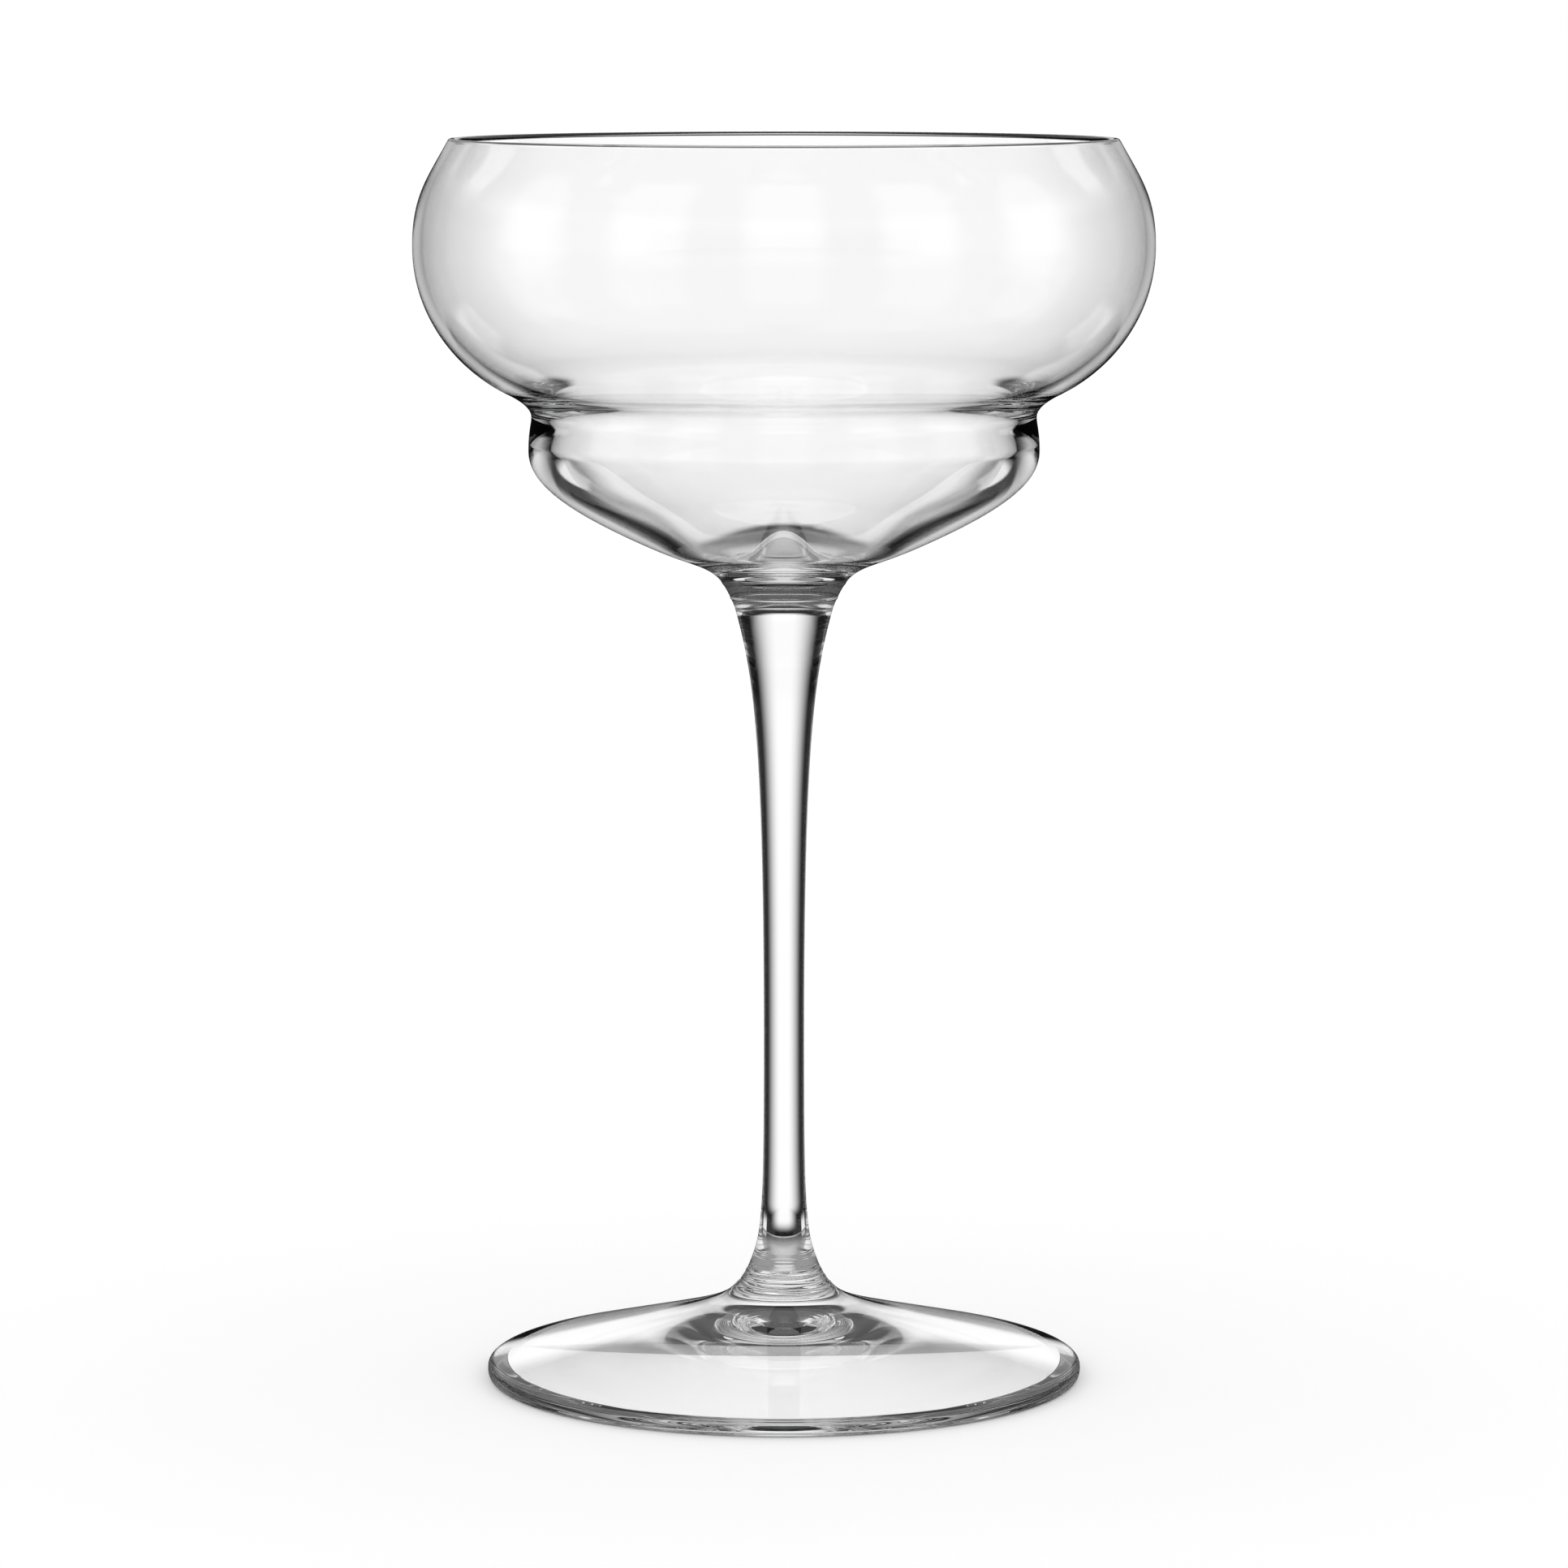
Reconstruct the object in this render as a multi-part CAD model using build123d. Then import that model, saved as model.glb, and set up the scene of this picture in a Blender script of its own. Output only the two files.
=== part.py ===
from build123d import *
import os
from math import cos, radians, sin
from typing import NamedTuple

# Stemmed cocktail glass with a stepped bowl, in five pieces of glass fused end to end.
# It stands on the XY plane with its axis on Z. Sizes are in millimetres, angles in degrees.

# Foot: a shallow cone with a rounded edge, hollow underneath inside a flat resting ring
foot_diameter = 79.3
foot_edge_height = 1.35  # widest line of the edge, above the table
foot_edge_round = 1.1  # how far the edge rounds in below its widest line
foot_rest_width = 2.0  # flat ring that meets the table
foot_hollow = 6.2  # rise of the underside at the axis
foot_hollow_slope = 13.0  # slope of the underside where it leaves the ring
foot_shoulder_inset = 1.35  # top of the edge, in from its widest line
foot_shoulder_rise = 1.2  # top of the edge, above its widest line
foot_shoulder_slope = 14.2  # slope of the upper face at the shoulder
foot_rise = 8.85  # top of the foot, above the shoulder
foot_joint_diameter = 14.85
foot_joint_flare = 52.5  # outline at the joint, from upright

# Lower merese: the wafer that welds the stem to the foot
lower_merese_height = 4.0

# Stem: a drawn trumpet, thinnest a third of the way up
stem_length = 87.6
stem_bottom_diameter = 9.05
stem_bottom_flare = 21.3
stem_waist_diameter = 5.4
stem_waist_height = 30.4  # above the lower end of the stem
stem_top_diameter = 12.9
stem_top_flare = 15.2

# Upper merese: the wafer that welds the bowl to the stem
upper_merese_height = 4.2

# Bowl, outside: joint, sloping underside, small bulge, waist, shelf, wide belly and rim
bowl_joint_diameter = 17.5
bowl_joint_flare = 47.2
underside_diameter = 36.0
underside_rise = 4.15  # above the joint
underside_slope = 24.2
bulge_swell = 0.4  # radius of the bulge over the waist
bulge_rise = 12.6  # above the underside
waist_inset = 3.4  # in from the shelf
waist_rise = 4.55  # above the bulge
shelf_inset = 12.1  # in from the belly
shelf_rise = 3.2  # above the waist
shelf_slope = 26.1
belly_diameter = 97.6
belly_rise = 19.2  # above the shelf
rim_inset = 4.7  # in from the belly
rim_rise = 13.55  # centre of the rounded rim, above the belly
rim_lean = 28.6  # the wall leans in at the rim by this

# Bowl, inside: the wall thickens from the rim down to the heavy base
rim_wall = 1.1
belly_wall = 1.3
shelf_wall = 1.45
throat_wall = 2.4
bulge_wall = 2.85
bulge_lift = 0.8  # inner bulge above the outer one
base_inset = 2.8  # inner underside, in from the outer one
base_lift = 1.7  # and above it
floor_drop = 0.1  # lowest ring of the floor, below the outer underside
floor_ring_diameter = 16.0
floor_crown = 1.7  # rise of the floor at the axis, above its lowest ring


class Station(NamedTuple):
    """A point of an outline and the heading there, walking down the glass.

    The heading is measured from straight down, outward positive. The two pulls say how far the
    curves on either side keep to it, as shares of their chords.
    """

    radius: float
    height: float
    heading: float
    pull_in: float = 0.35
    pull_out: float = 0.35


def point(station):
    """Place of a station in the outline's plane."""
    return Vector(station.radius, station.height)


def walk(station):
    """Unit step down the outline at a station."""
    return Vector(sin(radians(station.heading)), -cos(radians(station.heading)))


def outline(stations):
    """Cubic curves that join the stations, each tangent to the headings at its ends."""
    curves = []
    for start, end in zip(stations, stations[1:]):
        chord = (point(end) - point(start)).length
        leave = point(start) + walk(start) * (chord * start.pull_out)
        arrive = point(end) - walk(end) * (chord * end.pull_in)
        curves.append(Bezier(point(start), leave, arrive, point(end)))
    return curves


def moved(station, out, up):
    """The same station at another place, out from the axis and up."""
    return station._replace(radius=station.radius + out, height=station.height + up)


def inward(station, wall, pull_in=0.35, pull_out=0.35):
    """Station of the inner outline, square across the wall from an outer station."""
    step = walk(station)
    place = point(station) + Vector(step.Y, -step.X) * wall
    return Station(place.X, place.Y, station.heading, pull_in, pull_out)


def on_axis(height):
    """Point of the glass's axis at a height."""
    return Vector(0, height)


def turned(edges):
    """Solid made by turning a closed half section about the glass's axis."""
    return revolve(Plane.XZ * make_face(edges), Axis.Z)


def plug(stations):
    """Solid of full section between its first and last station, with flat ends."""
    top, bottom = stations[0], stations[-1]
    ends = [
        Line(on_axis(top.height), point(top)),
        Line(point(bottom), on_axis(bottom.height)),
        Line(on_axis(bottom.height), on_axis(top.height)),
    ]
    return turned(outline(stations) + ends)


# Heights of the joints, stacked up from the table
shoulder_height = foot_edge_height + foot_shoulder_rise
foot_joint_height = shoulder_height + foot_rise
stem_bottom_height = foot_joint_height + lower_merese_height
stem_top_height = stem_bottom_height + stem_length
bowl_joint_height = stem_top_height + upper_merese_height

# Stations that two pieces share
foot_joint = Station(foot_joint_diameter / 2, foot_joint_height, foot_joint_flare, 0.27, 0.104)
stem_bottom = Station(stem_bottom_diameter / 2, stem_bottom_height, stem_bottom_flare, 0.146, 0.49)
stem_top = Station(stem_top_diameter / 2, stem_top_height, -stem_top_flare, 0.2, 0.15)
bowl_joint = Station(bowl_joint_diameter / 2, bowl_joint_height, -bowl_joint_flare, 0.262, 0.229)


def make_foot():
    """Foot: cone, rounded edge, flat resting ring and hollow underside."""
    edge_radius = foot_diameter / 2
    rest_radius = edge_radius - foot_edge_round
    ring_radius = rest_radius - foot_rest_width
    shoulder = Station(
        edge_radius - foot_shoulder_inset, shoulder_height, 90 - foot_shoulder_slope, 0.62, 0.45
    )
    edge = Station(edge_radius, foot_edge_height, 0, 0.5, 0.5)
    rest = Station(rest_radius, 0, -90, 0.5)
    crown = Station(0, foot_hollow, 90, pull_out=0.2)
    ring = Station(ring_radius, 0, 90 - foot_hollow_slope, 0.62)
    flat_parts = [
        Line(on_axis(foot_joint_height), point(foot_joint)),
        Line(point(rest), point(ring)),
        Line(on_axis(foot_hollow), on_axis(foot_joint_height)),
    ]
    upper_face = outline([foot_joint, shoulder, edge, rest])
    underside = outline([crown, ring])
    return turned(upper_face + underside + flat_parts)


def make_lower_merese():
    """Wafer between the stem and the foot, flaring out as it goes down."""
    return plug([stem_bottom, foot_joint])


def make_stem():
    """Drawn stem, flaring to the wafer at each end."""
    waist = Station(stem_waist_diameter / 2, stem_bottom_height + stem_waist_height, 0, 0.718, 0.786)
    return plug([stem_top, waist, stem_bottom])


def make_upper_merese():
    """Wafer between the bowl and the stem, flaring out as it goes up."""
    return plug([bowl_joint, stem_top])


def make_bowl():
    """Blown bowl: stepped outside, thicker towards its base, with a rounded rim."""
    underside_height = bowl_joint_height + underside_rise
    bulge_height = underside_height + bulge_rise
    waist_height = bulge_height + waist_rise
    shelf_height = waist_height + shelf_rise
    belly_height = shelf_height + belly_rise
    rim_height = belly_height + rim_rise
    belly_radius = belly_diameter / 2
    shelf_radius = belly_radius - shelf_inset
    waist_radius = shelf_radius - waist_inset
    bulge_radius = waist_radius + bulge_swell

    # The wall ends square to its lean, and half a circle as wide as the wall rounds it over
    lean = Vector(sin(radians(rim_lean)), -cos(radians(rim_lean)))
    across = Vector(-lean.Y, lean.X) * (rim_wall / 2)
    rim_middle = Vector(belly_radius - rim_inset - across.X, rim_height)
    rim_outer = rim_middle + across
    rim_crest = rim_middle - lean * (rim_wall / 2)

    rim = Station(rim_outer.X, rim_outer.Y, rim_lean, pull_out=0.374)
    belly = Station(belly_radius, belly_height, 0, 0.458, 0.417)
    shelf = Station(shelf_radius, shelf_height, shelf_slope - 90, 0.297, 0.337)
    waist = Station(waist_radius, waist_height, 0, 0.29, 0.2)
    bulge = Station(bulge_radius, bulge_height, 0, 0.6, 0.203)
    underside = Station(underside_diameter / 2, underside_height, underside_slope - 90, 0.598, 0.565)

    floor_height = underside_height - floor_drop
    inside = [
        inward(rim, rim_wall, pull_out=0.374),
        inward(belly, belly_wall, pull_in=0.458, pull_out=0.417),
        inward(shelf, shelf_wall, pull_in=0.297),
        inward(waist, throat_wall),
        moved(bulge, -bulge_wall, bulge_lift),
        moved(underside, -base_inset, base_lift),
        Station(floor_ring_diameter / 2, floor_height, -90, 0.35, 0.4),
        Station(0, floor_height + floor_crown, -90, 0.4),
    ]
    rim_arc = ThreePointArc(point(rim), rim_crest, point(inside[0]))
    ends = [
        Line(point(bowl_joint), on_axis(bowl_joint_height)),
        Line(on_axis(bowl_joint_height), point(inside[-1])),
    ]
    outside = outline([rim, belly, shelf, waist, bulge, underside, bowl_joint])
    return turned(outside + outline(inside) + [rim_arc] + ends)


os.makedirs("parts", exist_ok=True)
export_step(make_foot(), "parts/foot.step")
export_step(make_lower_merese(), "parts/lower_merese.step")
export_step(make_stem(), "parts/stem.step")
export_step(make_upper_merese(), "parts/upper_merese.step")
export_step(make_bowl(), "parts/bowl.step")
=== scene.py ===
import logging
from dataclasses import dataclass, field, replace
from enum import Enum
from functools import reduce
from math import cos, radians, sin
from typing import Any, ClassVar

import bpy
import numpy as np
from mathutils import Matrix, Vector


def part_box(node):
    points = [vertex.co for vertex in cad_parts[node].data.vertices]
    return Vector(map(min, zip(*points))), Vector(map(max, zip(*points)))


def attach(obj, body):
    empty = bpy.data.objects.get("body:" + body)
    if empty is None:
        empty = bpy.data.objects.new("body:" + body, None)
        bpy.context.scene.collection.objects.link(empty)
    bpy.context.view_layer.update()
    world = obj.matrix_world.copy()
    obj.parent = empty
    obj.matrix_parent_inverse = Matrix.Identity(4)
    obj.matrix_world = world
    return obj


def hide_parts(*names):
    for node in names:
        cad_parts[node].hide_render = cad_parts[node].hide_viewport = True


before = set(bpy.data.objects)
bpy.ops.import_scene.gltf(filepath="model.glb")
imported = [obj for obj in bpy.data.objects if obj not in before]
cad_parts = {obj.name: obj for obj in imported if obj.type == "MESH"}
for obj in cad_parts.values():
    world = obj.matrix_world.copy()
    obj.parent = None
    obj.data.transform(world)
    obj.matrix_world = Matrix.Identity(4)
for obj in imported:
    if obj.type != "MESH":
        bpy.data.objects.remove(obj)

# Stemmed cocktail glass with a stepped bowl. Sizes in the classes are in millimetres and degrees,
# meshes are in metres, and every piece of glass is turned about the Z axis.

log = logging.getLogger("glass")
MM = 0.001
DEGREES = 180 / np.pi
TINY = 1e-9
WHITE = (1.0, 1.0, 1.0, 1.0)
Value = Any


class Joint(Enum):
    """Heights where two pieces of glass are welded, named by the piece whose lower face is there."""

    LOWER = "lower_merese"
    STEM = "stem"
    UPPER = "upper_merese"
    BOWL = "bowl"

    def height(self) -> float:
        """Height of the joint above the table, in millimetres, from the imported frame."""
        return float(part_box(self.value)[0][2]) / MM


class End(Enum):
    """How a turned piece closes on the axis."""

    CROWN = "smooth"
    WELD = "flat weld face"


@dataclass(frozen=True)
class Station:
    """A point of an outline and the heading there, walking down the glass.

    The heading is measured from straight down, outward positive. The two pulls say how far the
    curves on either side keep to it, as shares of their chords.
    """

    radius: float
    height: float
    heading: float
    pull_in: float = 0.35
    pull_out: float = 0.35

    def place(self) -> np.ndarray:
        """Place of the station in the half section."""
        return np.array((self.radius, self.height))

    def walk(self) -> np.ndarray:
        """Unit step down the outline."""
        return np.array((sin(radians(self.heading)), -cos(radians(self.heading))))

    def moved(self, out: float, up: float) -> "Station":
        """The same station at another place.

        Args:
            out: Move away from the axis.
            up: Move up.

        Returns:
            The moved station.
        """
        return replace(self, radius=self.radius + out, height=self.height + up)

    def inward(self, wall: float, pull_in: float = 0.35, pull_out: float = 0.35) -> "Station":
        """Station of the inner outline, square across the wall from this one.

        Args:
            wall: Thickness of the wall here.
            pull_in: Pull of the inner curve that arrives.
            pull_out: Pull of the inner curve that leaves.

        Returns:
            The inner station.
        """
        step = self.walk()
        place = self.place() + np.array((step[1], -step[0])) * wall
        return Station(float(place[0]), float(place[1]), self.heading, pull_in, pull_out)


@dataclass(frozen=True)
class Skin:
    """A stretch of the half section as rows of (radius, height), with its outward normals.

    Attributes:
        place: The rows.
        normal: The normal at each row.
        fine_points: Points along a curve from which its length is measured.
    """

    place: np.ndarray
    normal: np.ndarray
    fine_points: ClassVar[int] = 801

    @classmethod
    def through(cls, stations: list[Station], pitch: float) -> "Skin":
        """Samples the outline that walks down through stations.

        Two neighbouring stations are joined by a cubic Bezier curve whose handles lie along the
        headings, each as long as its pull times the chord. Points are spread evenly by length, and
        the normal is the direction of walking turned a quarter turn to the outside.

        Args:
            stations: Stations from the top down.
            pitch: Largest distance between two points.

        Returns:
            The sampled outline.
        """
        places, normals = [], []
        for start, end in zip(stations, stations[1:]):
            chord = np.linalg.norm(end.place() - start.place())
            handles = np.stack(
                (
                    start.place(),
                    start.place() + start.walk() * chord * start.pull_out,
                    end.place() - end.walk() * chord * end.pull_in,
                    end.place(),
                )
            )
            fine = np.linspace(0, 1, cls.fine_points)
            length = cls.lengths(cls.cubic(handles, fine)[0])
            count = max(3, int(np.ceil(length[-1] / pitch)) + 1)
            share = np.interp(np.linspace(0, length[-1], count), length, fine)
            curve, speed = cls.cubic(handles, share)
            unit = speed / np.linalg.norm(speed, axis=1, keepdims=True)
            keep = slice(1 if places else 0, None)
            places.append(curve[keep])
            normals.append(np.stack((-unit[:, 1], unit[:, 0]), axis=1)[keep])
        return cls(np.concatenate(places), np.concatenate(normals))

    @staticmethod
    def cubic(handles: np.ndarray, share: np.ndarray) -> tuple[np.ndarray, np.ndarray]:
        """Points and speeds of a cubic Bezier curve.

        Args:
            handles: The four handles, one a row.
            share: Parameters from 0 to 1.

        Returns:
            Points and their derivatives, one row for each parameter.
        """
        u, v = share[:, None], 1 - share[:, None]
        first, second, third, fourth = handles
        curve = v**3 * first + 3 * v**2 * u * second + 3 * v * u**2 * third + u**3 * fourth
        speed = 3 * (v**2 * (second - first) + 2 * v * u * (third - second) + u**2 * (fourth - third))
        return curve, speed

    @staticmethod
    def lengths(place: np.ndarray) -> np.ndarray:
        """Length walked from the first row to each row."""
        return np.concatenate(([0.0], np.cumsum(np.linalg.norm(np.diff(place, axis=0), axis=1))))

    def run(self) -> np.ndarray:
        """Length walked along this skin, at each point."""
        return self.lengths(self.place)

    def reversed(self) -> "Skin":
        """The same outline walked the other way, with its outside on the other side."""
        return Skin(self.place[::-1], -self.normal[::-1])

    def then(self, other: "Skin") -> "Skin":
        """This outline and the next one, which starts where this one ends."""
        place = np.concatenate((self.place, other.place[1:]))
        return Skin(place, np.concatenate((self.normal, other.normal[1:])))


@dataclass(frozen=True)
class Streaks:
    """Faint waves left in blown or drawn glass: a sum of plane waves in height and angle.

    Attributes:
        depth: Standard deviation of the waves, in millimetres.
        wave_heights: Shortest and longest wave up the glass.
        turns: Most waves round the glass.
        count: How many waves are added.
        seed: Seed of the random phases.
    """

    depth: float
    wave_heights: tuple[float, float]
    turns: int
    count: int
    seed: int

    def relief(self, height: np.ndarray, angle: np.ndarray) -> np.ndarray:
        """Relief on a grid: the sum over waves of cos(height share + whole turns of angle + phase).

        Args:
            height: Distance along the outline of each row.
            angle: Angle round the axis of each column.

        Returns:
            Relief in millimetres, one row for each height.
        """
        rng = np.random.default_rng(self.seed)
        waves = 2 * np.pi / rng.uniform(*self.wave_heights, self.count)
        turns = rng.integers(-self.turns, self.turns + 1, self.count)
        phase = rng.uniform(0, 2 * np.pi, self.count)
        swing = waves * height[:, None, None] + turns * angle[None, :, None] + phase
        return np.cos(swing).sum(axis=2) * self.depth * np.sqrt(2 / self.count)


@dataclass(frozen=True)
class Rings:
    """Rings that a weld leaves round the glass: narrow ridges over finer waves.

    Attributes:
        ridges: Middle above the lower weld face, width and rise of each ridge.
        fine: The finer waves.
        margin: Length at both ends where the rings die out.
    """

    ridges: tuple[tuple[float, float, float], ...]
    fine: Streaks
    margin: float = 0.5

    def relief(self, skin: Skin, angle: np.ndarray) -> np.ndarray:
        """Relief on a grid: the fine waves and the ridges.

        A ridge is rise · exp(-(height - middle)² / 2 width²). The sum is multiplied by a share that
        goes smoothly from 0 to 1 over the margin at both ends.

        Args:
            skin: Half section of the weld.
            angle: Angle round the axis of each column.

        Returns:
            Relief in millimetres, one row for each point of the section.
        """
        run = skin.run()
        relief = self.fine.relief(run, angle)
        height = skin.place[:, 1] - skin.place[-1, 1]
        for middle, width, rise in self.ridges:
            relief += (rise * np.exp(-((height - middle) ** 2) / (2 * width**2)))[:, None]
        share = np.clip(np.minimum(run, run[-1] - run) / self.margin, 0, 1)
        return relief * (share**2 * (3 - 2 * share))[:, None]


@dataclass(frozen=True)
class Turned:
    """A closed piece of glass: a half section carried once round the axis.

    Attributes:
        name: Name of the piece.
        skin: Half section, walked from the axis or the upper weld face to the lower end.
        top: How the first row closes on the axis.
        bottom: How the last row closes on the axis.
        segments: Columns round the axis.
    """

    name: str
    skin: Skin
    top: End
    bottom: End
    segments: int = 192

    def angles(self) -> np.ndarray:
        """Angle of each column."""
        return np.arange(self.segments) * (2 * np.pi / self.segments)

    def blank(self) -> np.ndarray:
        """Relief of zero on every point."""
        return np.zeros((len(self.skin.place), self.segments))

    def shell(self, relief: np.ndarray) -> tuple[np.ndarray, np.ndarray]:
        """Points and normals of the skin, rows by columns, less the rows on the axis.

        A point is (r cos a, r sin a, z), where (r, z) is the half section moved along its normal by
        the relief. Its normal is the section's normal less the slopes of the relief along the
        section and round the axis.

        Args:
            relief: Distance out of the skin in millimetres, rows of the section by columns.

        Returns:
            Points in metres, and unit normals.
        """
        rows = slice(int(self.top is End.CROWN), len(self.skin.place) - int(self.bottom is End.CROWN))
        lift = relief[:, :, None] * self.skin.normal[:, None, :]
        section = (self.skin.place[:, None, :] + lift)[rows] * MM
        angle = self.angles()
        points = self.carried(section[..., 0], section[..., 1], np.zeros_like(section[..., 0]), angle)
        along = np.gradient(relief, self.skin.run(), axis=0, edge_order=2)[rows]
        turn = np.roll(relief, -1, axis=1) - np.roll(relief, 1, axis=1)
        around = turn[rows] * MM / (2 * angle[1] * section[..., 0])
        out, up = self.skin.normal[rows, 0, None], self.skin.normal[rows, 1, None]
        normals = self.carried(out - along * up, up + along * out, -around, angle)
        return points, normals / np.linalg.norm(normals, axis=-1, keepdims=True)

    def faces(self, count: int) -> tuple[np.ndarray, np.ndarray]:
        """Faces of the piece, as rows of point numbers.

        The two points on the axis, upper and lower, have the numbers after the last row's.

        Args:
            count: Rows of points.

        Returns:
            Quads of the skin, and triangles of the upper fan and then of the lower one.
        """
        index = np.arange(count * self.segments).reshape(count, self.segments)
        after = np.roll(index, -1, axis=1)
        quads = np.stack((index[:-1], index[1:], after[1:], after[:-1]), axis=-1).reshape(-1, 4)
        pole = np.full(self.segments, index.size)
        upper = np.stack((pole, index[0], after[0]), axis=-1)
        lower = np.stack((pole + 1, after[-1], index[-1]), axis=-1)
        return quads, np.concatenate((upper, lower))

    def piece(self, relief: np.ndarray, finishes: list[bpy.types.Material]) -> bpy.types.Object:
        """Makes the mesh and its object.

        Each end closes with a fan of triangles round a point on the axis. The fan of a weld face has
        an upright normal and the second finish.

        Args:
            relief: Distance out of the skin in millimetres, rows of the section by columns.
            finishes: Finish of the glass and finish of the weld faces.

        Returns:
            The piece, linked to the scene.
        """
        points, normals = self.shell(relief)
        poles = np.array(((0, 0, self.skin.place[0, 1] * MM), (0, 0, self.skin.place[-1, 1] * MM)))
        vertices = np.concatenate((points.reshape(-1, 3), poles))
        upright = np.array(((0.0, 0.0, 1.0), (0.0, 0.0, -1.0)))
        quads, fans = self.faces(len(points))
        corners = np.concatenate((quads.ravel(), fans.ravel()))
        corner_normals = np.concatenate((normals.reshape(-1, 3), upright))[corners]
        slots = np.zeros(len(quads) + len(fans), dtype=np.int32)
        fan = 3 * self.segments
        if self.top is End.WELD:
            corner_normals[-2 * fan : -fan] = upright[0]
            slots[-2 * self.segments : -self.segments] = 1
        if self.bottom is End.WELD:
            corner_normals[-fan:] = upright[1]
            slots[-self.segments :] = 1

        mesh = bpy.data.meshes.new(self.name)
        mesh.vertices.add(len(vertices))
        mesh.vertices.foreach_set("co", vertices.ravel())
        mesh.loops.add(len(corners))
        mesh.loops.foreach_set("vertex_index", corners.astype(np.int32))
        starts = np.concatenate((np.arange(0, quads.size, 4), np.arange(quads.size, len(corners), 3)))
        mesh.polygons.add(len(starts))
        mesh.polygons.foreach_set("loop_start", starts.astype(np.int32))
        mesh.update(calc_edges=True)
        for finish in finishes:
            mesh.materials.append(finish)
        mesh.polygons.foreach_set("material_index", slots)
        mesh.polygons.foreach_set("use_smooth", np.ones(len(starts), dtype=bool))
        mesh.normals_split_custom_set(corner_normals.tolist())
        mesh.update()
        piece = bpy.data.objects.new(self.name, mesh)
        bpy.context.scene.collection.objects.link(piece)
        return piece

    @staticmethod
    def carried(out: np.ndarray, up: np.ndarray, side: np.ndarray, angle: np.ndarray) -> np.ndarray:
        """Vectors of the half section turned to each angle.

        Args:
            out: Parts away from the axis, rows by columns.
            up: Parts along the axis.
            side: Parts round the axis.
            angle: Angle of each column.

        Returns:
            The vectors, rows by columns by three.
        """
        east, north = np.cos(angle), np.sin(angle)
        up_wide = np.broadcast_to(up, np.broadcast_shapes(up.shape, out.shape, side.shape))
        return np.stack((out * east - side * north, out * north + side * east, up_wide), axis=-1)


class Bench:
    """Makes the nodes of one node tree."""

    def __init__(self, tree: bpy.types.NodeTree) -> None:
        """Clears the tree."""
        self.tree = tree
        tree.nodes.clear()

    @classmethod
    def for_material(cls, name: str) -> tuple[bpy.types.Material, "Bench"]:
        """Starts a material.

        Args:
            name: Name of the material.

        Returns:
            The material and the bench of its nodes.
        """
        material = bpy.data.materials.new(name)
        material.use_nodes = True
        return material, cls(material.node_tree)

    def node(
        self,
        kind: str,
        settings: dict[str, Value] | None = None,
        sockets: dict[str | int, Value] | None = None,
    ) -> bpy.types.Node:
        """Adds a node.

        Args:
            kind: Type of the node.
            settings: Its settings, which are set first.
            sockets: Values or links of its inputs, by name or number.

        Returns:
            The node.
        """
        made = self.tree.nodes.new(kind)
        for name, value in (settings or {}).items():
            setattr(made, name, value)
        for name, value in (sockets or {}).items():
            if isinstance(value, Wire):
                self.tree.links.new(value.socket, made.inputs[name])
            else:
                made.inputs[name].default_value = value
        return made

    def wire(
        self,
        kind: str,
        settings: dict[str, Value] | None = None,
        sockets: dict[str | int, Value] | None = None,
        output: str | int = 0,
    ) -> "Wire":
        """Adds a node and gives one of its outputs.

        Args:
            kind: Type of the node.
            settings: Its settings.
            sockets: Values or links of its inputs.
            output: Name or number of the output.

        Returns:
            The output.
        """
        return Wire(self, self.node(kind, settings, sockets).outputs[output])

    def shade(self, low: tuple, high: tuple, share: "Wire") -> "Wire":
        """Colour between two colours, by the sockets that a Mix node has for colours.

        Args:
            low: Colour where the share is 0.
            high: Colour where the share is 1.
            share: The share.

        Returns:
            The mixed colour.
        """
        return self.wire("ShaderNodeMix", {"data_type": "RGBA"}, {0: share, 6: low, 7: high}, output=2)

    def noise(self, place: "Wire", scale: float, detail: float) -> "Wire":
        """Noise over a surface.

        Args:
            place: Where the noise is read.
            scale: Waves for each unit of the place.
            detail: Octaves of finer noise.

        Returns:
            The noise, from 0 to 1.
        """
        sockets = {"Vector": place, "Scale": scale, "Detail": detail}
        return self.wire("ShaderNodeTexNoise", sockets=sockets)


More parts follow.
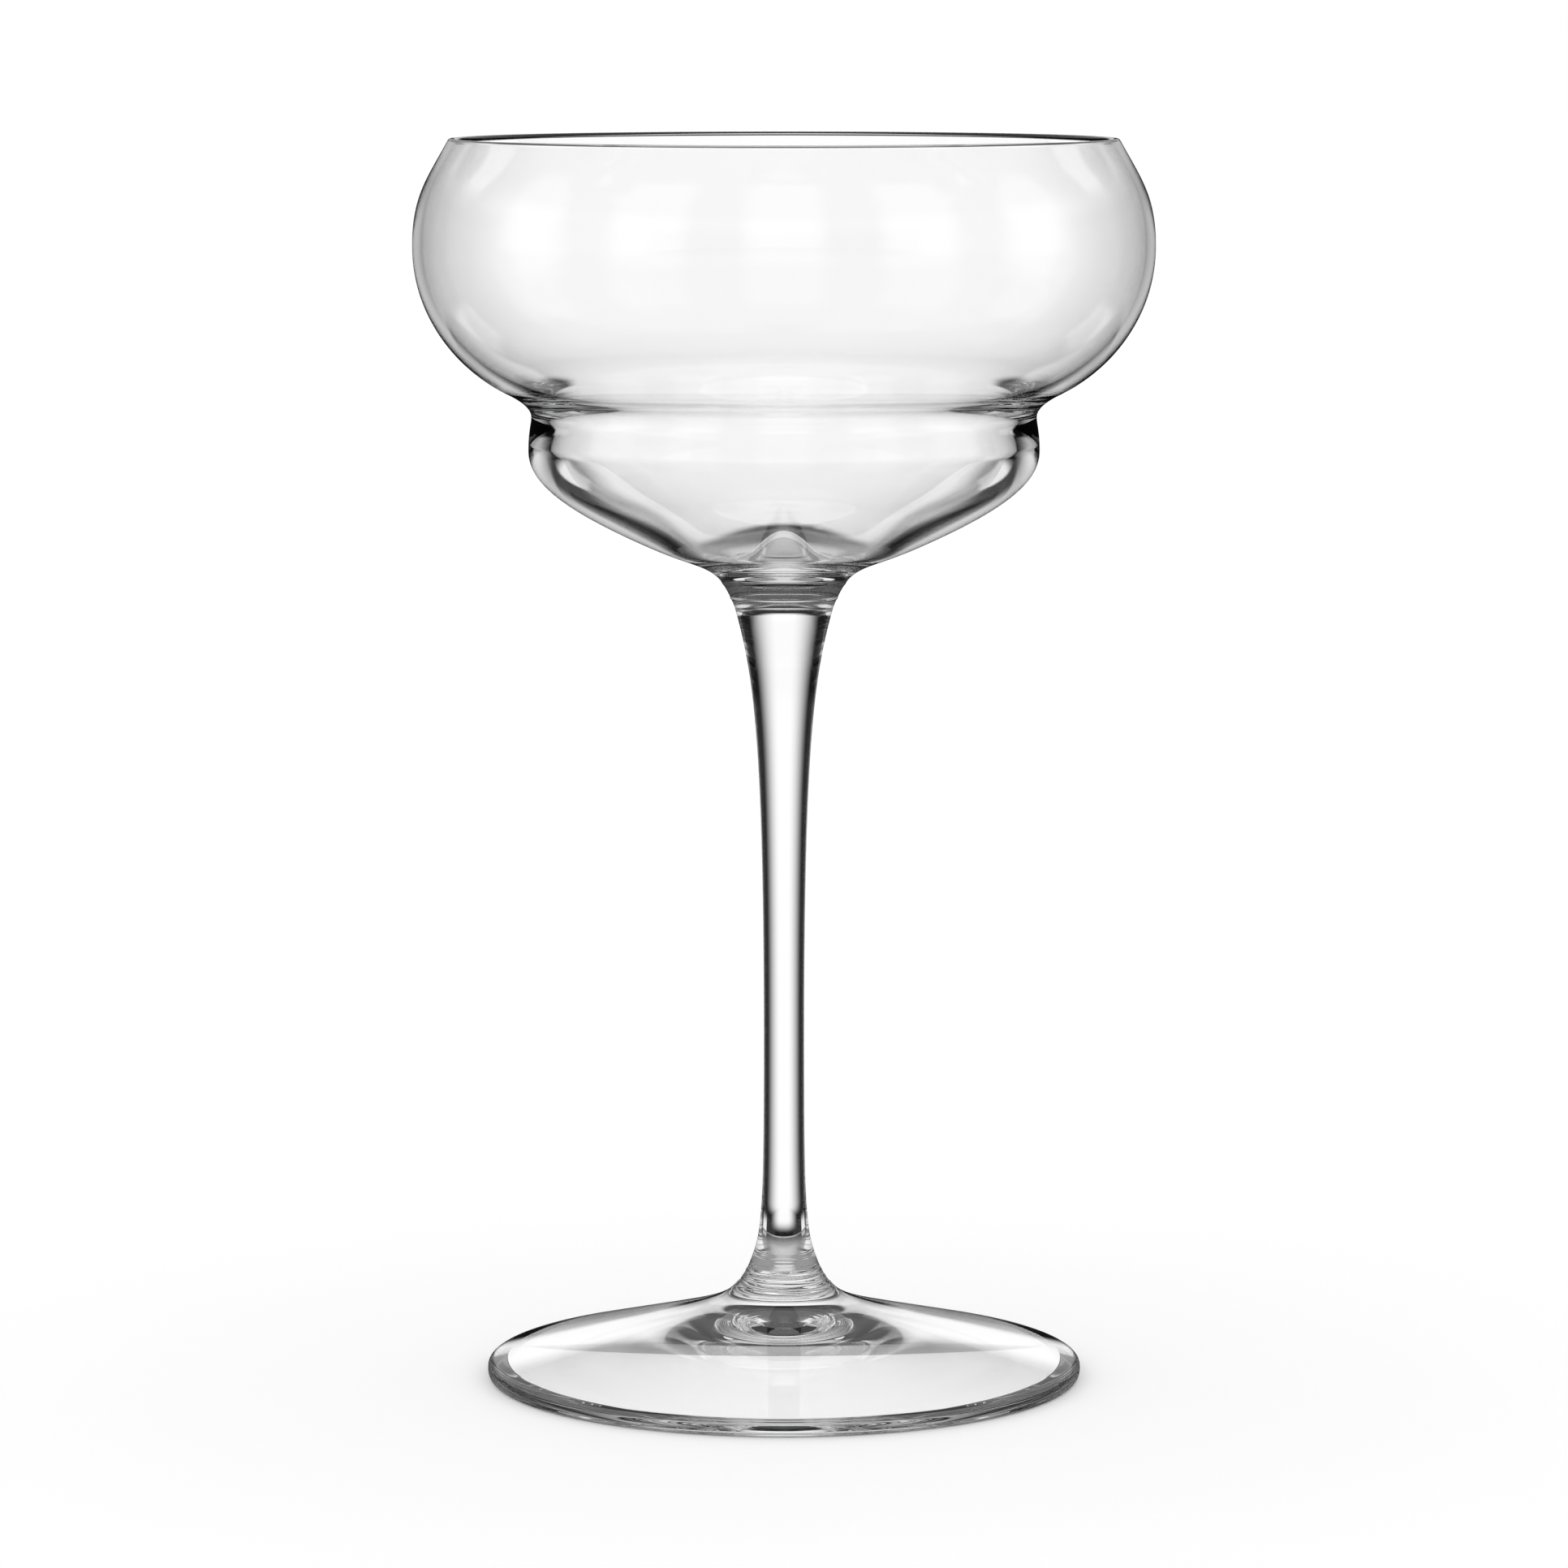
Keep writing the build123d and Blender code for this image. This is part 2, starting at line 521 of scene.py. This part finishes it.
class Wire:
    """A node's output that takes part in sums: each operator adds a Math node."""

    def __init__(self, bench: Bench, socket: bpy.types.NodeSocket) -> None:
        """Wraps a socket of the bench's tree."""
        self.bench = bench
        self.socket = socket

    def math(self, operation: str, first: Value, second: Value = 0.0) -> "Wire":
        """Adds a Math node.

        Args:
            operation: Its operation.
            first: First operand.
            second: Second operand.

        Returns:
            The result.
        """
        return self.bench.wire("ShaderNodeMath", {"operation": operation}, {0: first, 1: second})

    def __add__(self, other: Value) -> "Wire":
        """Sum."""
        return self.math("ADD", self, other)

    def __radd__(self, other: Value) -> "Wire":
        """Sum with the wire second."""
        return self.math("ADD", other, self)

    def __sub__(self, other: Value) -> "Wire":
        """Difference."""
        return self.math("SUBTRACT", self, other)

    def __rsub__(self, other: Value) -> "Wire":
        """Difference with the wire second."""
        return self.math("SUBTRACT", other, self)

    def __mul__(self, other: Value) -> "Wire":
        """Product."""
        return self.math("MULTIPLY", self, other)

    def __rmul__(self, other: Value) -> "Wire":
        """Product with the wire second."""
        return self.math("MULTIPLY", other, self)

    def __abs__(self) -> "Wire":
        """Size without sign."""
        return self.math("ABSOLUTE", self)

    def or_more(self, other: Value) -> "Wire":
        """The larger of two."""
        return self.math("MAXIMUM", self, other)

    def fade(self, start: float, end: float) -> "Wire":
        """Smooth step from 1 at start to 0 at end."""
        limits = {"Value": self, "From Min": start, "From Max": end, "To Min": 1.0, "To Max": 0.0}
        return self.bench.wire("ShaderNodeMapRange", {"interpolation_type": "SMOOTHSTEP"}, limits)


@dataclass(frozen=True)
class ClearGlass:
    """Clear fire-polished glass with faint making streaks.

    Attributes:
        name: Name of the finish.
        pale: Colour of most of the glass.
        tinted: Colour in the thicker-looking clouds.
        clouds: Waves of the clouds for each metre.
        bend: Index of refraction.
        smooth: Least roughness.
        smeared: Roughness added in the faint smears.
        smear_range: Noise where a smear is full, and where it ends.
        smear_scale: Waves of the smears for each wave of the streaks.
        streak: Depth of the streaks, in millimetres.
        stretch: Waves of the streaks for each metre across and up.
    """

    name: str
    pale: tuple[float, float, float, float] = (0.997, 0.997, 0.997, 1.0)
    tinted: tuple[float, float, float, float] = (0.981, 0.981, 0.981, 1.0)
    clouds: float = 30.0
    bend: float = 1.5
    smooth: float = 0.0
    smeared: float = 0.012
    smear_range: tuple[float, float] = (0.75, 0.5)
    smear_scale: float = 0.6
    streak: float = 0.0015
    stretch: tuple[float, float] = (40.0, 260.0)

    def material(self) -> bpy.types.Material:
        """Makes the material: clouds tint it, smears roughen it and stretched noise bumps it.

        Returns:
            The material.
        """
        material, bench = Bench.for_material(self.name)
        place = bench.wire("ShaderNodeTexCoord", output="Object")
        across, up = self.stretch
        drawn = bench.wire("ShaderNodeMapping", sockets={"Vector": place, "Scale": (across, across, up)})
        clouds = bench.noise(place, self.clouds, detail=2.0)
        smears = bench.noise(drawn, self.smear_scale, detail=3.0)
        streaks = bench.noise(drawn, 1.0, detail=1.0)
        bump = bench.wire(
            "ShaderNodeBump", sockets={"Height": streaks, "Strength": 1.0, "Distance": self.streak * MM}
        )
        rough = self.smooth + smears.fade(*self.smear_range) * self.smeared
        glass = bench.wire(
            "ShaderNodeBsdfPrincipled",
            sockets={
                "Base Color": bench.shade(self.pale, self.tinted, clouds),
                "Roughness": rough,
                "IOR": self.bend,
                "Transmission Weight": 1.0,
                "Normal": bump,
            },
        )
        bench.node("ShaderNodeOutputMaterial", sockets={"Surface": glass})
        return material


@dataclass(frozen=True)
class WeldFace:
    """The plane where two pieces of glass are fused: nothing shows there."""

    name: str = "fused_face"

    def material(self) -> bpy.types.Material:
        """Makes the material: light passes straight through.

        Returns:
            The material.
        """
        material, bench = Bench.for_material(self.name)
        through = bench.wire("ShaderNodeBsdfTransparent", sockets={"Color": WHITE})
        bench.node("ShaderNodeOutputMaterial", sockets={"Surface": through})
        return material


@dataclass
class Seams:
    """Stations that two pieces of the glass share. A flare is the outline's angle from upright."""

    foot_radius: float = 7.425
    foot_flare: float = 52.5
    stem_bottom_radius: float = 4.525
    stem_bottom_flare: float = 21.3
    stem_top_radius: float = 6.45
    stem_top_flare: float = 15.2
    bowl_radius: float = 8.75
    bowl_flare: float = 47.2

    def foot(self) -> Station:
        """Where the foot meets the lower merese."""
        return Station(self.foot_radius, Joint.LOWER.height(), self.foot_flare, 0.27, 0.104)

    def stem_bottom(self) -> Station:
        """Where the lower merese meets the stem."""
        return Station(self.stem_bottom_radius, Joint.STEM.height(), self.stem_bottom_flare, 0.146, 0.49)

    def stem_top(self) -> Station:
        """Where the stem meets the upper merese."""
        return Station(self.stem_top_radius, Joint.UPPER.height(), -self.stem_top_flare, 0.2, 0.15)

    def bowl(self) -> Station:
        """Where the upper merese meets the bowl."""
        return Station(self.bowl_radius, Joint.BOWL.height(), -self.bowl_flare, 0.262, 0.229)


@dataclass
class GlassPart:
    """A piece of the glass that stands for one CAD node.

    Attributes:
        finishes: Finish of the glass and of its weld faces.
        seams: Stations shared with its neighbours.
    """

    finishes: list[bpy.types.Material]
    seams: Seams = field(default_factory=Seams)

    def settle(self, piece: bpy.types.Object, node: str) -> bpy.types.Object:
        """Puts a piece in the place of its CAD node.

        Args:
            piece: The piece.
            node: The CAD node that it replaces.

        Returns:
            The piece.
        """
        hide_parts(node)
        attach(piece, "root")
        log.info("%s: %d faces in place of %s", piece.name, len(piece.data.polygons), node)
        return piece


@dataclass
class Bowl(GlassPart):
    """Blown bowl: stepped outside, thicker towards its base, with a rounded rim.

    Each rise of the outside is above the station below it, and the rim is set in from the belly.
    From the rim down to the throat the walls are square across the glass. The inner bulge and
    underside are the outer ones moved in and up. The floor has a low ring round a crown.
    """

    underside_radius: float = 18.0
    underside_rise: float = 4.15
    underside_slope: float = 24.2
    bulge_radius: float = 33.7
    bulge_rise: float = 12.6
    waist_radius: float = 33.3
    waist_rise: float = 4.55
    shelf_radius: float = 36.7
    shelf_rise: float = 3.2
    shelf_slope: float = 26.1
    belly_radius: float = 48.8
    belly_rise: float = 19.2
    rim_inset: float = 4.7
    rim_rise: float = 13.55
    rim_lean: float = 28.6
    rim_wall: float = 1.1
    rim_rows: int = 25
    belly_wall: float = 1.3
    shelf_wall: float = 1.45
    throat_wall: float = 2.4
    bulge_wall: float = 2.85
    bulge_lift: float = 0.8
    base_inset: float = 2.8
    base_lift: float = 1.7
    floor_drop: float = 0.1
    floor_ring_radius: float = 8.0
    floor_crown: float = 1.7
    pitch: float = 0.4

    def outside(self) -> list[Station]:
        """Stations of the outer outline from the rim down to the weld.

        Returns:
            The stations.
        """
        joint = self.seams.bowl()
        underside = Station(
            self.underside_radius,
            joint.height + self.underside_rise,
            self.underside_slope - 90,
            0.598,
            0.565,
        )
        bulge = Station(self.bulge_radius, underside.height + self.bulge_rise, 0, 0.6, 0.203)
        waist = Station(self.waist_radius, bulge.height + self.waist_rise, 0, 0.29, 0.2)
        shelf = Station(
            self.shelf_radius, waist.height + self.shelf_rise, self.shelf_slope - 90, 0.297, 0.337
        )
        belly = Station(self.belly_radius, shelf.height + self.belly_rise, 0, 0.458, 0.417)
        drop = self.rim_wall / 2 * sin(radians(self.rim_lean))
        rim = Station(
            self.belly_radius - self.rim_inset,
            belly.height + self.rim_rise + drop,
            self.rim_lean,
            pull_out=0.374,
        )
        return [rim, belly, shelf, waist, bulge, underside, joint]

    def inside(self, outside: list[Station]) -> list[Station]:
        """Stations of the inner outline from the rim down to the middle of the floor.

        Args:
            outside: Stations of the outer outline.

        Returns:
            The stations.
        """
        rim, belly, shelf, waist, bulge, underside, _ = outside
        floor = underside.height - self.floor_drop
        return [
            rim.inward(self.rim_wall, pull_out=0.374),
            belly.inward(self.belly_wall, pull_in=0.458, pull_out=0.417),
            shelf.inward(self.shelf_wall, pull_in=0.297),
            waist.inward(self.throat_wall),
            bulge.moved(-self.bulge_wall, self.bulge_lift),
            underside.moved(-self.base_inset, self.base_lift),
            Station(self.floor_ring_radius, floor, -90, 0.35, 0.4),
            Station(0, floor + self.floor_crown, -90, 0.4),
        ]

    def rim_round(self, rim: Station) -> Skin:
        """Half circle over the rim, from the inner wall to the outer: middle + half wall (cos, sin).

        Args:
            rim: Station at the top of the outer outline.

        Returns:
            The outline of the rim.
        """
        middle = rim.inward(self.rim_wall / 2).place()
        turn = np.radians(np.linspace(180, 0, self.rim_rows) + self.rim_lean)
        normal = np.stack((np.cos(turn), np.sin(turn)), axis=1)
        return Skin(middle + normal * self.rim_wall / 2, normal)

    def build(self) -> bpy.types.Object:
        """Makes the bowl.

        Returns:
            The piece.
        """
        outside = self.outside()
        inner = Skin.through(self.inside(outside), self.pitch).reversed()
        outer = Skin.through(outside, self.pitch)
        skin = inner.then(self.rim_round(outside[0])).then(outer)
        turned = Turned("clear_bowl", skin, End.CROWN, End.WELD)
        return self.settle(turned.piece(turned.blank(), self.finishes), "bowl")


@dataclass
class UpperMerese(GlassPart):
    """Wafer that welds the bowl to the stem."""

    rings: Rings = Rings(
        ridges=((3.4, 0.12, 0.06), (1.5, 0.12, 0.07)), fine=Streaks(0.0002, (0.4, 0.9), 1, 14, 5)
    )
    pitch: float = 0.04

    def build(self) -> bpy.types.Object:
        """Makes the wafer.

        Returns:
            The piece.
        """
        skin = Skin.through([self.seams.bowl(), self.seams.stem_top()], self.pitch)
        turned = Turned("bowl_weld", skin, End.WELD, End.WELD)
        relief = self.rings.relief(skin, turned.angles())
        return self.settle(turned.piece(relief, self.finishes), "upper_merese")


@dataclass
class Stem(GlassPart):
    """Drawn stem, thinnest a third of the way up."""

    waist_radius: float = 2.7
    waist_rise: float = 30.4
    pitch: float = 0.35

    def build(self) -> bpy.types.Object:
        """Makes the stem.

        Returns:
            The piece.
        """
        bottom = self.seams.stem_bottom()
        waist = Station(self.waist_radius, bottom.height + self.waist_rise, 0, 0.718, 0.786)
        skin = Skin.through([self.seams.stem_top(), waist, bottom], self.pitch)
        turned = Turned("clear_stem", skin, End.WELD, End.WELD)
        return self.settle(turned.piece(turned.blank(), self.finishes), "stem")


@dataclass
class LowerMerese(GlassPart):
    """Wafer that welds the stem to the foot."""

    rings: Rings = Rings(
        ridges=((2.8, 0.15, 0.05), (2.0, 0.13, 0.04), (0.9, 0.15, 0.05)),
        fine=Streaks(0.004, (0.5, 0.9), 2, 14, 8),
    )
    pitch: float = 0.05

    def build(self) -> bpy.types.Object:
        """Makes the wafer.

        Returns:
            The piece.
        """
        skin = Skin.through([self.seams.stem_bottom(), self.seams.foot()], self.pitch)
        turned = Turned("foot_weld", skin, End.WELD, End.WELD)
        relief = self.rings.relief(skin, turned.angles())
        return self.settle(turned.piece(relief, self.finishes), "lower_merese")


@dataclass
class Foot(GlassPart):
    """Low cone with a rounded edge, a flat resting ring and a hollow underside."""

    edge_radius: float = 39.65
    edge_height: float = 1.35
    edge_round: float = 1.1
    rest_width: float = 2.0
    hollow: float = 6.2
    hollow_slope: float = 13.0
    shoulder_inset: float = 1.35
    shoulder_rise: float = 1.2
    shoulder_slope: float = 14.2
    pitch: float = 0.3

    def build(self) -> bpy.types.Object:
        """Makes the foot.

        Returns:
            The piece.
        """
        shoulder = Station(
            self.edge_radius - self.shoulder_inset,
            self.edge_height + self.shoulder_rise,
            90 - self.shoulder_slope,
            0.62,
            0.45,
        )
        edge = Station(self.edge_radius, self.edge_height, 0, 0.5, 0.5)
        rest = Station(self.edge_radius - self.edge_round, 0, -90, 0.5)
        ring = Station(rest.radius - self.rest_width, 0, -90)
        under = Station(ring.radius, 0, -90 - self.hollow_slope, pull_out=0.62)
        crown = Station(0, self.hollow, -90, pull_in=0.2)
        upper = Skin.through([self.seams.foot(), shoulder, edge, rest], self.pitch)
        flat = Skin.through([rest, ring], self.pitch)
        hollow = Skin.through([under, crown], self.pitch)
        turned = Turned("clear_foot", upper.then(flat).then(hollow), End.WELD, End.CROWN)
        return self.settle(turned.piece(turned.blank(), self.finishes), "foot")


@dataclass(frozen=True)
class Panel:
    """A soft light panel of the studio and its twin on the other side, as the glass sees them.

    Attributes:
        azimuth: Its middle, from straight behind the glass, to either side.
        elevation: Its middle above the horizon.
        sides: Angles from its middle where it starts to fade and where it ends, sideways.
        ends: The same, up and down.
        strength: Its brightness.
    """

    azimuth: float
    elevation: float
    sides: tuple[float, float]
    ends: tuple[float, float]
    strength: float

    def glow(self, aside: Wire, rise: Wire) -> Wire:
        """Brightness of the panel by direction.

        Args:
            aside: Degrees from straight behind the glass, to either side.
            rise: Elevation in degrees.

        Returns:
            The brightness.
        """
        level = abs(aside - self.azimuth).fade(*self.sides)
        upright = abs(rise - self.elevation).fade(*self.ends)
        return level * upright * self.strength


@dataclass(frozen=True)
class Studio:
    """White sweep, soft panels for the glass, and the camera.

    Attributes:
        through: Light panels as seen through the glass.
        mirrored: Light panels as seen mirrored on the glass.
        fill: Brightness of the rest of the room in the glass.
        floor_half: Half the width of the floor, in metres.
        floor_shade: Brightness of the pale floor.
        floor_lift: Light that the camera sees over the floor's shade, so that it meets the backdrop.
        lens: Focal length of the camera, in millimetres.
        sensor: Width of its sensor, in millimetres.
        clip: Nearest and farthest that it sees, in metres.
        camera_place: Place of the camera in metres.
        camera_pitch: How far the camera looks down.
        bounces: How often light is followed, in all and through glass.
        mirror_bounces: How often it is followed from mirror to mirror.
        weld_bounces: How often it passes a weld face.
    """

    through: tuple[Panel, ...] = (
        # Backdrop, and the wider parts of it that light the stem
        Panel(0, -3, (6, 26), (14, 19), 1.06),
        Panel(0, -10, (6, 42), (4.6, 7), 1.06),
        Panel(0, 3, (6, 42), (9, 13), 1.06),
        # Sides and front, which keep the glass clear from other viewpoints
        Panel(45, -26, (6, 10), (5, 9), 0.95),
        Panel(90, -8, (8, 20), (24, 36), 0.95),
        Panel(135, -8, (8, 20), (24, 36), 0.95),
        Panel(180, -8, (8, 20), (24, 36), 0.95),
        Panel(180, -8, (105, 118), (24, 36), 0.3),
        # Table, and the ceiling over it
        Panel(0, -60, (12, 45), (20, 32), 0.72),
        Panel(0, -90, (180, 181), (50, 62), 0.3),
        Panel(0, -90, (180, 181), (10, 20), 0.72),
        Panel(0, 70, (180, 181), (30, 50), 0.1),
    )
    mirrored: tuple[Panel, ...] = (
        # Behind and overhead
        Panel(0, 12, (8, 14), (6, 10), 0.9),
        Panel(0, 50, (180, 181), (30, 40), 0.6),
        # At the sides, high and low
        Panel(110, 14, (26, 30), (13, 17), 0.5),
        Panel(110, -32, (26, 30), (16, 20), 0.2),
    )
    fill: float = 0.005
    floor_half: float = 10.0
    floor_shade: float = 0.97
    floor_lift: float = 0.07
    lens: float = 150.0
    sensor: float = 36.0
    clip: tuple[float, float] = (0.01, 100.0)
    camera_place: tuple[float, float, float] = (0.0, -0.860853, 0.18303)
    camera_pitch: float = 6.846
    bounces: int = 32
    mirror_bounces: int = 16
    weld_bounces: int = 64

    def sweep(self) -> None:
        """Makes the world: white, except that the glass sees the panels."""
        world = bpy.data.worlds.new("studio")
        world.use_nodes = True
        bench = Bench(world.node_tree)
        direction = bench.wire("ShaderNodeTexCoord", output="Generated")
        parts = bench.node("ShaderNodeSeparateXYZ", sockets={0: direction})
        x, y, z = (Wire(bench, out) for out in parts.outputs)
        level = z.math("SQRT", (x * x + y * y).or_more(TINY))
        rise = z.math("ARCTAN2", z, level) * DEGREES
        aside = x.math("ARCTAN2", abs(x), y) * DEGREES
        path = bench.node("ShaderNodeLightPath")
        shiny = Wire(bench, path.outputs["Is Glossy Ray"])
        clear = Wire(bench, path.outputs["Is Transmission Ray"])
        plain = 1 - shiny.or_more(clear)
        bent = self.glow(self.through, aside, rise) * clear
        bounced = self.glow(self.mirrored, aside, rise) * (1 - clear) * shiny
        strength = plain + bent + bounced
        light = bench.wire("ShaderNodeBackground", sockets={"Color": WHITE, "Strength": strength})
        bench.node("ShaderNodeOutputWorld", sockets={"Surface": light})
        bpy.context.scene.world = world

    def glow(self, panels: tuple[Panel, ...], aside: Wire, rise: Wire) -> Wire:
        """Brightness by direction: the brightest panel there, over the room's fill.

        Args:
            panels: The panels.
            aside: Degrees from straight behind the glass, to either side.
            rise: Elevation in degrees.

        Returns:
            The brightness.
        """
        parts = [panel.glow(aside, rise) for panel in panels]
        return reduce(Wire.or_more, parts) + self.fill

    def floor(self) -> bpy.types.Object:
        """Makes the pale floor, which the glass looks past.

        Returns:
            The floor.
        """
        half = self.floor_half
        mesh = bpy.data.meshes.new("floor")
        corners = [(-half, -half, 0), (half, -half, 0), (half, half, 0), (-half, half, 0)]
        mesh.from_pydata(corners, [], [(0, 1, 2, 3)])
        material, bench = Bench.for_material("pale_floor")
        shade = (self.floor_shade,) * 3 + (1.0,)
        matte = bench.wire("ShaderNodeBsdfDiffuse", sockets={"Color": shade})
        seen = bench.wire("ShaderNodeLightPath", output="Is Camera Ray") * self.floor_lift
        lift = bench.wire("ShaderNodeEmission", sockets={"Strength": seen})
        both = bench.wire("ShaderNodeAddShader", sockets={0: matte, 1: lift})
        bench.node("ShaderNodeOutputMaterial", sockets={"Surface": both})
        mesh.materials.append(material)
        floor = bpy.data.objects.new("floor", mesh)
        bpy.context.scene.collection.objects.link(floor)
        floor.visible_glossy = False
        floor.visible_transmission = False
        return floor

    def camera(self) -> bpy.types.Object:
        """Makes the camera at the photograph's viewing angle.

        Returns:
            The camera.
        """
        data = bpy.data.cameras.new("camera")
        data.lens = self.lens
        data.sensor_width = self.sensor
        data.clip_start, data.clip_end = self.clip
        camera = bpy.data.objects.new("camera", data)
        camera.location = self.camera_place
        camera.rotation_euler = (radians(90 - self.camera_pitch), 0.0, 0.0)
        bpy.context.scene.collection.objects.link(camera)
        bpy.context.scene.camera = camera
        return camera

    def build(self) -> None:
        """Makes the studio and sets how far light is followed through the glass."""
        scene = bpy.context.scene
        scene.view_settings.view_transform = "Standard"
        scene.cycles.max_bounces = self.bounces
        scene.cycles.transmission_bounces = self.bounces
        scene.cycles.glossy_bounces = self.mirror_bounces
        scene.cycles.transparent_max_bounces = self.weld_bounces
        self.sweep()
        self.floor()
        self.camera()


def main() -> None:
    logging.basicConfig(level=logging.INFO, format="%(message)s")
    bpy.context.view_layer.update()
    Studio().build()
    finishes = [ClearGlass("clear_glass").material(), WeldFace().material()]
    for part in (Bowl, UpperMerese, Stem, LowerMerese, Foot):
        part(finishes).build()


if __name__ == "__main__":
    main()
